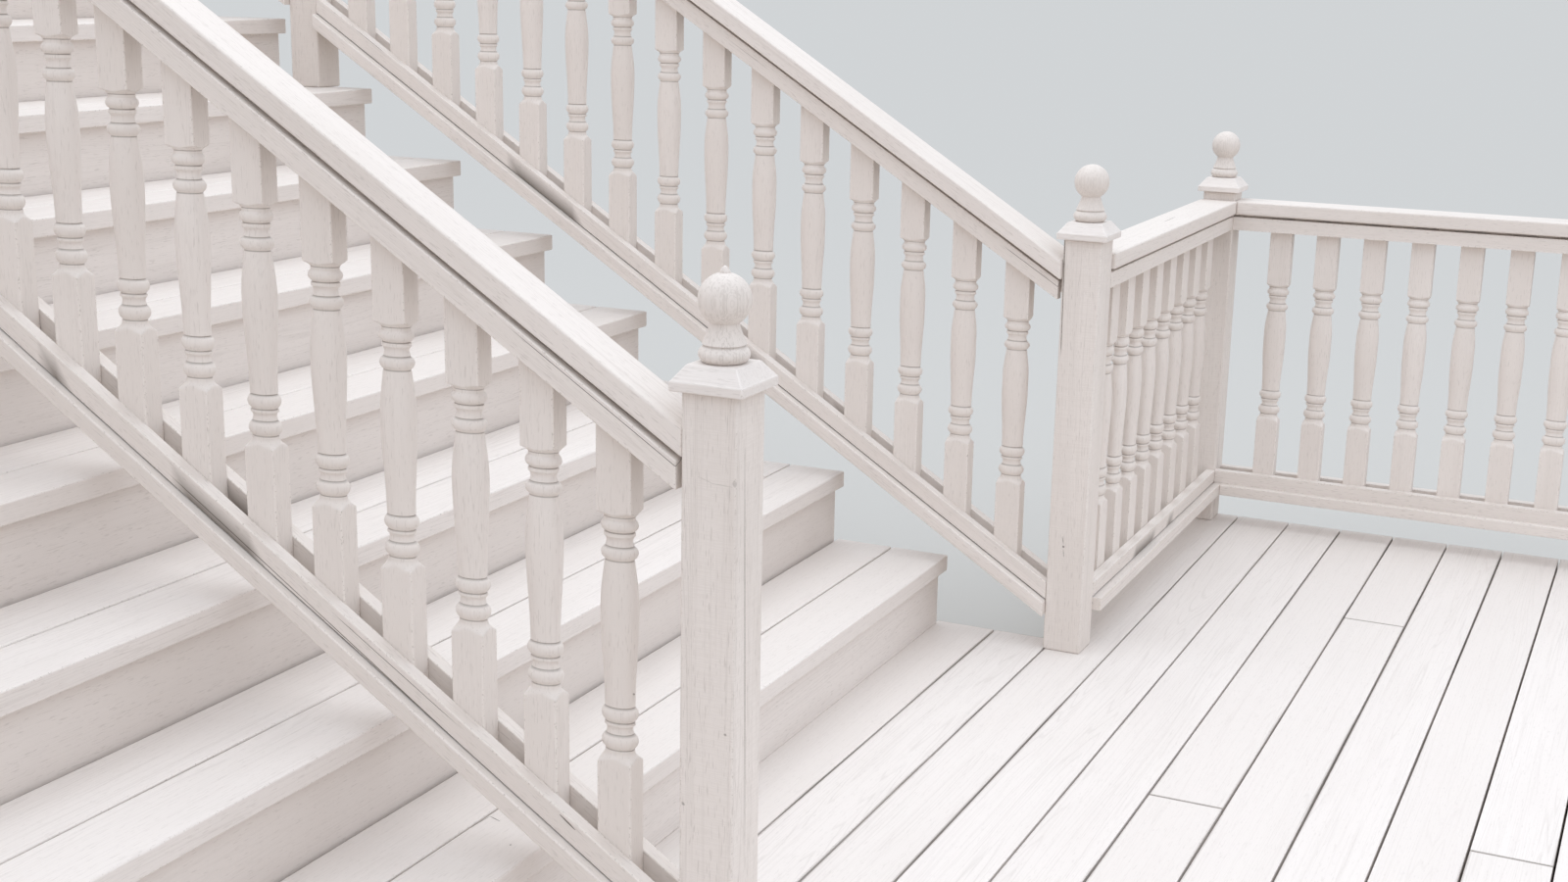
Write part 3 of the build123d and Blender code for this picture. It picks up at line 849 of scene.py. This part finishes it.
# Cap: heights over the post's top and half widths, from the underside of the plate to the flat
CAP_RINGS = ((0.0000, 0.0552), (0.0006, 0.0564), (0.0020, 0.0570), (0.0125, 0.0570), (0.0144, 0.0563),
             (0.0152, 0.0550), (0.0360, 0.0392), (0.0370, 0.0372))
CAP_CORNER = 0.0022

# The middle newel is the post within this length of its railing's lower end
NEWEL_REACH = 0.15

# Ball finial: heights over the cap's flat and radii, in metres
FINIAL_BEAD_HEIGHT = 0.0235
FINIAL_BEAD_RADIUS = 0.0365
FINIAL_SEAT_RADIUS = 0.0285
FINIAL_LINE_DEPTH = 0.0016
FINIAL_LINE_WIDTH = 0.0013
FINIAL_SHOULDER_RADIUS = 0.0315
FINIAL_NECK_TOP = 0.0550
FINIAL_NECK_RADIUS = 0.0208
BALL_RADIUS = 0.0380
TIP_RADIUS = 0.0006

# How the finial's curves bend: under 1 is full, and over 1 is hollow
FINIAL_BEAD_BEND = 0.75
FINIAL_NECK_BEND = 1.3
TIP_BEND = 0.62

# How far up from the ball's middle its outline ends, with a tip and without
BALL_END_TIPPED = math.radians(78)
BALL_END = math.radians(86)

# Steps in the curves of the bead and the neck, the ball and the tip, and the rings of the groove,
# which is painted with shade
FINIAL_STEPS = 12
BALL_STEPS = 20
TIP_STEPS = 6
FINIAL_GROOVE_RINGS = (FINIAL_STEPS, FINIAL_STEPS + 1)

# How much finer the grain is across a finial than across a board, and the angle of its sharp edges
FINIAL_GRAIN = 1.8
FINIAL_SHARP = math.radians(42)


def cap_places():
    """The middle of the underside of every post cap."""
    places = []
    for points, faces in solids("post_caps"):
        low_z = min(p.z for p in points)
        foot = [p for p in points if p.z < low_z + MERGE_DISTANCE]
        places.append(sum(foot, Vector()) / len(foot))
    return places


def is_middle_newel(place):
    low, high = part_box("middle_posts")
    return place.x > high.x - NEWEL_REACH and low.y < place.y < high.y


class DECKSTAIRS_OT_caps(bpy.types.Operator):
    """Make the post caps, a plate that slopes up to a flat"""

    bl_idname = "deck_stairs.caps"
    bl_label = "Post caps"

    def execute(self, context):
        piece = Piece("post_caps_painted", ["post_caps"], "cap_paint", "rail_paint")
        for place in cap_places():
            lot = piece.draw_lot()
            rings = []
            for height, half_width in CAP_RINGS:
                outline = rounded_section(2 * half_width, 2 * half_width, [CAP_CORNER] * 4)
                ring = [Vector((x - half_width, y - half_width, height)) for x, y in outline]
                rings.append([(place + p, p) for p in ring])
            widest = max(half_width for height, half_width in CAP_RINGS)
            piece.skin(rings, Vector((widest, widest, 1.0)), lot, CORNER_STEPS)
        piece.object()
        return {"FINISHED"}


def finial_outline(tip):
    """The finial's radius at each height: a rounded base, a flared neck, a ball and perhaps a tip."""
    outline = [(0.0, FINIAL_SEAT_RADIUS)]
    for i in range(1, FINIAL_STEPS):
        swell = math.sin(math.pi * i / FINIAL_STEPS) ** FINIAL_BEAD_BEND
        outline.append((FINIAL_BEAD_HEIGHT * i / FINIAL_STEPS,
                        FINIAL_SEAT_RADIUS + (FINIAL_BEAD_RADIUS - FINIAL_SEAT_RADIUS) * swell))
    groove_radius = FINIAL_SHOULDER_RADIUS - FINIAL_LINE_DEPTH
    shoulder = FINIAL_BEAD_HEIGHT + 2 * FINIAL_LINE_WIDTH
    outline += [(FINIAL_BEAD_HEIGHT, groove_radius), (FINIAL_BEAD_HEIGHT + FINIAL_LINE_WIDTH, groove_radius),
                (shoulder, FINIAL_SHOULDER_RADIUS)]
    for i in range(1, FINIAL_STEPS + 1):
        share = i / FINIAL_STEPS
        flare = (1 - share) ** FINIAL_NECK_BEND
        outline.append((shoulder + (FINIAL_NECK_TOP - shoulder) * share,
                        FINIAL_NECK_RADIUS + (FINIAL_SHOULDER_RADIUS - FINIAL_NECK_RADIUS) * flare))
    centre = FINIAL_NECK_TOP + math.sqrt(BALL_RADIUS ** 2 - FINIAL_NECK_RADIUS ** 2)
    first = math.asin((FINIAL_NECK_TOP - centre) / BALL_RADIUS)
    last = BALL_END_TIPPED if tip else BALL_END
    for i in range(1, BALL_STEPS + 1):
        turn = first + (last - first) * i / BALL_STEPS
        outline.append((centre + BALL_RADIUS * math.sin(turn), BALL_RADIUS * math.cos(turn)))
    if tip:
        foot_z, foot_radius = outline[-1]
        for i in range(1, TIP_STEPS + 1):
            share = i / TIP_STEPS
            outline.append((foot_z + tip * share, foot_radius * (1 - share) ** TIP_BEND + TIP_RADIUS))
    return outline


class DECKSTAIRS_OT_finials(bpy.types.Operator):
    """Turn the ball finials"""

    bl_idname = "deck_stairs.finials"
    bl_label = "Ball finials"

    def execute(self, context):
        turning = settings()[1]
        cap_height = max(height for height, half_width in CAP_RINGS)
        piece = Piece("ball_finials_turned", ["ball_finials"], "finial_paint", "rail_paint")
        for place in cap_places():
            tip = turning.tip_height if is_middle_newel(place) else 0.0
            lot = piece.draw_lot()
            rings = []
            for height, radius in finial_outline(tip):
                ring = []
                for i in range(turning.finial_sides):
                    turn = 2 * math.pi * i / turning.finial_sides
                    x, y = radius * math.cos(turn), radius * math.sin(turn)
                    ring.append((place + Vector((x, y, cap_height + height)),
                                 Vector((height, FINIAL_GRAIN * x, FINIAL_GRAIN * y))))
                rings.append(ring)
            piece.skin(rings, Vector((1.0, 1.0, 1.0)), lot, seams=FINIAL_GROOVE_RINGS)
        piece.object(sharp_angle=FINIAL_SHARP)
        return {"FINISHED"}


# The turned middle of a baluster, downwards: the kind of stretch, the depth at its end in millimetres,
# the share of the stock's half width and half thickness there, and the share that a bead or cove reaches
FULL_STOCK = 1.424
TURNING = (
    ("ogee", 7.2, 0.913, 0.0), ("groove", 8.6, 0.830, 0.0), ("line", 9.6, 0.857, 0.0),
    ("line", 13.6, 0.857, 0.0), ("bead", 30.5, 0.820, 1.030), ("groove", 31.9, 0.770, 0.0),
    ("line", 33.2, 0.869, 0.0), ("line", 37.7, 0.869, 0.0), ("cove", 52.0, 0.790, 0.725),
    ("groove", 53.4, 0.760, 0.0), ("bead", 72.8, 0.820, 1.030), ("groove", 74.4, 0.780, 0.0),
    ("line", 76.0, 0.828, 0.0), ("rise", 147.0, 1.077, 0.0), ("fall", 298.6, 0.850, 0.0),
    ("groove", 299.8, 0.790, 0.0), ("bead", 322.0, 0.820, 1.030), ("groove", 323.6, 0.770, 0.0),
    ("line", 325.4, 0.863, 0.0), ("line", 328.4, 0.863, 0.0), ("cove", 341.0, 0.780, 0.720),
    ("groove", 342.4, 0.760, 0.0), ("bead", 365.0, 0.820, 1.030), ("groove", 366.6, 0.770, 0.0),
    ("line", 368.2, 0.831, 0.0), ("line", 370.5, 0.831, 0.0), ("flare", 386.5, FULL_STOCK, 0.0),
)
STRETCH_STEPS = {"line": 1, "groove": 1, "bead": 7, "cove": 6, "rise": 7, "fall": 9, "ogee": 6, "flare": 8}

# How a bead or cove and a rise bend: under 1 is fuller than a sine, and over 1 is flatter at the start
BEAD_BEND = 0.7
RISE_BEND = 1.15

# Directions of a section's points in one quarter, in degrees; the two beside 45 ease the stock's corner
QUARTER_TURNS = (0, 15, 30, 43, 47, 60, 75)

# Full stock left between the turning and the square ends, and the angle of a baluster's sharp edges
STOCK_MARGIN = 0.002
BALUSTER_SHARP = math.radians(31)

# A gap between two balusters of so many times the least one ends a row
ROW_GAP = 1.5


def turned_outline(length):
    """Depth in metres, stock share and painted groove shade along a turning that long, from its top down."""
    outline = [(0.0, FULL_STOCK, 0.0)]
    for kind, end, end_size, reach in TURNING:
        start, start_size = outline[-1][:2]
        steps = STRETCH_STEPS[kind]
        for i in range(1, steps + 1):
            share = i / steps
            size = start_size + (end_size - start_size) * share
            if kind in ("bead", "cove"):
                size += (reach - size) * math.sin(math.pi * share) ** BEAD_BEND
            elif kind == "rise":
                size = start_size + (end_size - start_size) * math.sin(math.pi / 2 * share) ** RISE_BEND
            elif kind == "fall":
                size = end_size + (start_size - end_size) * (1 + math.cos(math.pi * share)) / 2
            elif kind == "ogee":
                size = start_size + (end_size - start_size) * math.sin(math.pi / 2 * share)
            elif kind == "flare":
                size = end_size + (start_size - end_size) * math.cos(math.pi / 2 * share)
            # Grooves are painted with shade
            outline.append((start + (end - start) * share, size, GROOVE_SHADE * (kind == "groove")))
    return [(depth * length / outline[-1][0], size, groove_shade) for depth, size, groove_shade in outline]


def stock_section():
    """Directions of a section's points, each with its distance out to the stock's faces."""
    turns = [math.radians(90 * quarter + turn) for quarter in range(4) for turn in QUARTER_TURNS]
    return [(math.cos(t), math.sin(t), 1 / max(abs(math.cos(t)), abs(math.sin(t)))) for t in turns]


def baluster_pattern(name, points, centre, slope, turning):
    """One baluster of a solid's size: square ends cut to the rails' slope, and the turning between."""
    mesh = bmesh.new()
    place = mesh.verts.layers.float_vector.new("place")
    size = mesh.verts.layers.float_vector.new("half")
    seam = mesh.verts.layers.float.new("seam")
    half_x = max(p.x for p in points) - centre.x
    half_y = max(p.y for p in points) - centre.y
    heights = sorted(p.z - centre.z for p in points)
    bottom, top = sum(heights[:4]) / 4, sum(heights[-4:]) / 4
    head = (heights[4] + heights[-5] + turning.head_depth) / 2
    foot = head - turning.head_depth
    levels = [("top", FULL_STOCK, 0.0), (head + STOCK_MARGIN, FULL_STOCK, 0.0)]
    levels += [(head - depth, share, groove_shade) for depth, share, groove_shade in turned_outline(turning.head_depth)]
    levels += [(foot - STOCK_MARGIN, FULL_STOCK, 0.0), ("bottom", FULL_STOCK, 0.0)]
    section = stock_section()
    rings = []
    for level, share, groove_shade in levels:
        ring = []
        for across, along, limit in section:
            reach = min(share, limit)
            x, y = half_x * reach * across, half_y * reach * along
            z = level
            if level == "top":
                z = top - slope * x
            elif level == "bottom":
                z = bottom - slope * x
            vert = mesh.verts.new((x, y, z))
            vert[place] = (z, x, y)
            vert[size] = (max(-bottom, top), half_x, half_y)
            vert[seam] = groove_shade
            ring.append(vert)
        rings.append(ring)
    count = len(section)
    for number, (upper, lower) in enumerate(zip(rings, rings[1:])):
        for i in range(count):
            j = (i + 1) % count
            face = mesh.faces.new((upper[i], lower[i], lower[j], upper[j]))
            face.smooth = 0 < number < len(rings) - 2
    mesh.faces.new(rings[0])
    mesh.faces.new(list(reversed(rings[-1])))
    bmesh.ops.recalc_face_normals(mesh, faces=mesh.faces)
    data = bpy.data.meshes.new(name)
    mesh.to_mesh(data)
    mesh.free()
    return bpy.data.objects.new(name, data)


def baluster_row_tree():
    """Node tree that repeats a pattern along a row of evenly spaced places."""
    tree = bpy.data.node_groups.new("Baluster row", "GeometryNodeTree")
    tree.is_modifier = True
    face = tree.interface
    face.new_socket("Geometry", in_out="INPUT", socket_type="NodeSocketGeometry")
    for name, kind in (("Pattern", "Object"), ("First", "Vector"), ("Step", "Vector"), ("Count", "Int"),
                       ("Seed", "Int"), ("Paint", "Material")):
        face.new_socket(name, in_out="INPUT", socket_type="NodeSocket" + kind)
    face.new_socket("Geometry", in_out="OUTPUT", socket_type="NodeSocketGeometry")

    def node(kind, **values):
        made = tree.nodes.new(kind)
        for key, value in values.items():
            setattr(made, key, value)
        return made

    given = node("NodeGroupInput")
    line = node("GeometryNodeMeshLine", mode="OFFSET")
    pattern = node("GeometryNodeObjectInfo")
    instances = node("GeometryNodeInstanceOnPoints")
    lots = node("FunctionNodeRandomValue", data_type="FLOAT_VECTOR")
    store = node("GeometryNodeStoreNamedAttribute", data_type="FLOAT_VECTOR", domain="INSTANCE")
    realize = node("GeometryNodeRealizeInstances")
    paint = node("GeometryNodeSetMaterial")
    result = node("NodeGroupOutput")
    store.inputs["Name"].default_value = "lot"
    links = (
        (given, "First", line, "Start Location"), (given, "Step", line, "Offset"),
        (given, "Count", line, "Count"), (given, "Pattern", pattern, "Object"),
        (line, "Mesh", instances, "Points"), (pattern, "Geometry", instances, "Instance"),
        (given, "Seed", lots, "Seed"), (instances, "Instances", store, "Geometry"),
        (lots, 0, store, "Value"), (store, "Geometry", realize, "Geometry"),
        (realize, "Geometry", paint, "Geometry"), (given, "Paint", paint, "Material"),
        (paint, "Geometry", result, "Geometry"),
    )
    for start, output, end, socket in links:
        tree.links.new(start.outputs[output], end.inputs[socket])
    return tree


def box_middle(points):
    """The middle of the box round some points."""
    return Vector([(min(values) + max(values)) / 2 for values in zip(*points)])


def baluster_rows(node):
    """The places of a node's balusters, as rows that are each evenly spaced."""
    centres = [box_middle(points) for points, faces in solids(node)]
    centres.sort(key=lambda c: (round(c.x, 3), round(c.y, 3)))
    pitch = min((b - a).length for a, b in zip(centres, centres[1:]))
    rows = [[centres[0]]]
    for centre in centres[1:]:
        if (centre - rows[-1][-1]).length > ROW_GAP * pitch:
            rows.append([])
        rows[-1].append(centre)
    return rows


class DECKSTAIRS_OT_balusters(bpy.types.Operator):
    """Turn the balusters and stand them along every railing"""

    bl_idname = "deck_stairs.balusters"
    bl_label = "Balusters"

    def execute(self, context):
        turning = settings()[1]
        tree = baluster_row_tree()
        inputs = {item.name: item.identifier for item in tree.interface.items_tree if item.in_out == "INPUT"}
        for number, railing in enumerate(RAILINGS):
            node = railing + "_balusters"
            rows = baluster_rows(node)
            slope = 0.0
            if railing in RAKED:
                first, second = rows[0][0], rows[0][1]
                slope = (first.z - second.z) / (second.x - first.x)
            points = solids(node)[0][0]
            pattern = baluster_pattern(node + "_pattern", points, box_middle(points), slope, turning)
            meshes = []
            for row_number, row in enumerate(rows):
                step = (row[-1] - row[0]) / (len(row) - 1)
                meshes.append(self.row_mesh(context, tree, inputs, pattern, row[0], step, len(row),
                                            10 * number + row_number))
            data = self.joined(node, meshes)
            data.set_sharp_from_angle(angle=BALUSTER_SHARP)
            place_piece(data, node + "_turned", [node])
            bpy.data.objects.remove(pattern)
        return {"FINISHED"}

    def row_mesh(self, context, tree, inputs, pattern, first, step, count, seed):
        carrier = bpy.data.objects.new("baluster_row", bpy.data.meshes.new("baluster_row"))
        context.scene.collection.objects.link(carrier)
        row = carrier.modifiers.new("Row", "NODES")
        row.node_group = tree
        row[inputs["Pattern"]] = pattern
        row[inputs["First"]] = tuple(first)
        row[inputs["Step"]] = tuple(step)
        row[inputs["Count"]] = count
        row[inputs["Seed"]] = seed
        row[inputs["Paint"]] = material("turned_paint")
        depsgraph = context.evaluated_depsgraph_get()
        data = bpy.data.meshes.new_from_object(carrier.evaluated_get(depsgraph), depsgraph=depsgraph)
        bpy.data.objects.remove(carrier)
        return data

    def joined(self, name, meshes):
        whole = bmesh.new()
        for mesh in meshes:
            whole.from_mesh(mesh)
        data = bpy.data.meshes.new(name + "_turned")
        whole.to_mesh(data)
        whole.free()
        data.materials.append(material("turned_paint"))
        return data


class DECKSTAIRS_OT_stage(bpy.types.Operator):
    """Set up the plain studio: floor, soft light and the camera"""

    bl_idname = "deck_stairs.stage"
    bl_label = "Studio"

    def execute(self, context):
        studio = settings()[3]
        self.floor(context, studio)
        self.world(context, studio)
        self.lamp(context, studio)
        self.camera(context)
        context.scene.view_settings.view_transform = "Standard"
        return {"FINISHED"}

    def floor(self, context, studio):
        """A wide pale floor that throws warm light back up and keeps the shadow."""
        corners = [(x * FLOOR_REACH, y * FLOOR_REACH, 0) for x, y in ((-1, -1), (1, -1), (1, 1), (-1, 1))]
        data = bpy.data.meshes.new("floor")
        data.from_pydata(corners, [], [(0, 1, 2, 3)])
        paint = Paint("floor")
        colour = paint.mix(paint.seen(), rgba(studio.ground), rgba(studio.floor))
        shader = paint.node("ShaderNodeBsdfDiffuse", None, {"Color": colour})
        paint.node_output(shader)
        data.materials.append(paint.material)
        floor = bpy.data.objects.new("floor", data)
        context.scene.collection.objects.link(floor)

    def world(self, context, studio):
        """Soft light from all round, cooler and stronger overhead, behind a plain backdrop."""
        paint = Paint("studio", bpy.data.worlds.new("studio"))
        place = paint.node("ShaderNodeTexCoord", None, None, "Generated")
        height = paint.parts(place)[2]
        light = paint.mix(height.rise(0.0, SKY_FULL), rgba(studio.level), rgba(studio.sky))
        colour = paint.mix(paint.seen(), light, rgba(studio.backdrop))
        glow = paint.node("ShaderNodeBackground", None, {"Color": colour})
        out = paint.tree.nodes.new("ShaderNodeOutputWorld")
        paint.tree.links.new(glow.socket, out.inputs["Surface"])
        context.scene.world = paint.material

    def lamp(self, context, studio):
        data = bpy.data.lights.new("overhead", "AREA")
        data.shape = "DISK"
        data.size = LAMP_SIZE
        data.energy = studio.lamp_power
        lamp = bpy.data.objects.new("overhead", data)
        lamp.location = LAMP_PLACE
        aim = Vector(LAMP_AIM) - lamp.location
        lamp.rotation_euler = aim.to_track_quat("-Z", "Y").to_euler()
        context.scene.collection.objects.link(lamp)

    def camera(self, context):
        data = bpy.data.cameras.new("view")
        data.lens = CAMERA_LENS
        data.sensor_width = CAMERA_SENSOR
        data.clip_end = CAMERA_REACH
        camera = bpy.data.objects.new("view", data)
        camera.location = CAMERA_PLACE
        camera.rotation_euler = Euler([math.radians(angle) for angle in CAMERA_TURN], "XYZ")
        context.scene.collection.objects.link(camera)
        context.scene.camera = camera


GROUPS = (("deck_stairs_timber", TimberSizes), ("deck_stairs_turning", TurningSizes),
          ("deck_stairs_paint", PaintColours), ("deck_stairs_studio", StudioSettings))
OPERATORS = (DECKSTAIRS_OT_treads, DECKSTAIRS_OT_risers, DECKSTAIRS_OT_deck_boards, DECKSTAIRS_OT_framing,
             DECKSTAIRS_OT_rails, DECKSTAIRS_OT_posts, DECKSTAIRS_OT_caps, DECKSTAIRS_OT_finials,
             DECKSTAIRS_OT_balusters, DECKSTAIRS_OT_stage)


class DECKSTAIRS_PT_panel(bpy.types.Panel):
    """Lists the sizes, the colours and the pieces"""

    bl_idname = "DECKSTAIRS_PT_panel"
    bl_label = "Deck Stairs"
    bl_space_type = "VIEW_3D"
    bl_region_type = "UI"
    bl_category = "Deck Stairs"

    def draw(self, context):
        for name, group in GROUPS:
            box = self.layout.box()
            values = getattr(context.scene, name)
            for key in group.__annotations__:
                box.prop(values, key)
        column = self.layout.column()
        for operator in OPERATORS:
            column.operator(operator.bl_idname)


def register():
    for name, group in GROUPS:
        bpy.utils.register_class(group)
        setattr(bpy.types.Scene, name, bpy.props.PointerProperty(type=group))
    for operator in OPERATORS:
        bpy.utils.register_class(operator)
    bpy.utils.register_class(DECKSTAIRS_PT_panel)


def unregister():
    bpy.utils.unregister_class(DECKSTAIRS_PT_panel)
    for operator in reversed(OPERATORS):
        bpy.utils.unregister_class(operator)
    for name, group in reversed(GROUPS):
        delattr(bpy.types.Scene, name)
        bpy.utils.unregister_class(group)


def main():
    register()
    for operator in OPERATORS:
        group, name = operator.bl_idname.split(".")
        getattr(getattr(bpy.ops, group), name)()


if __name__ == "__main__":
    main()
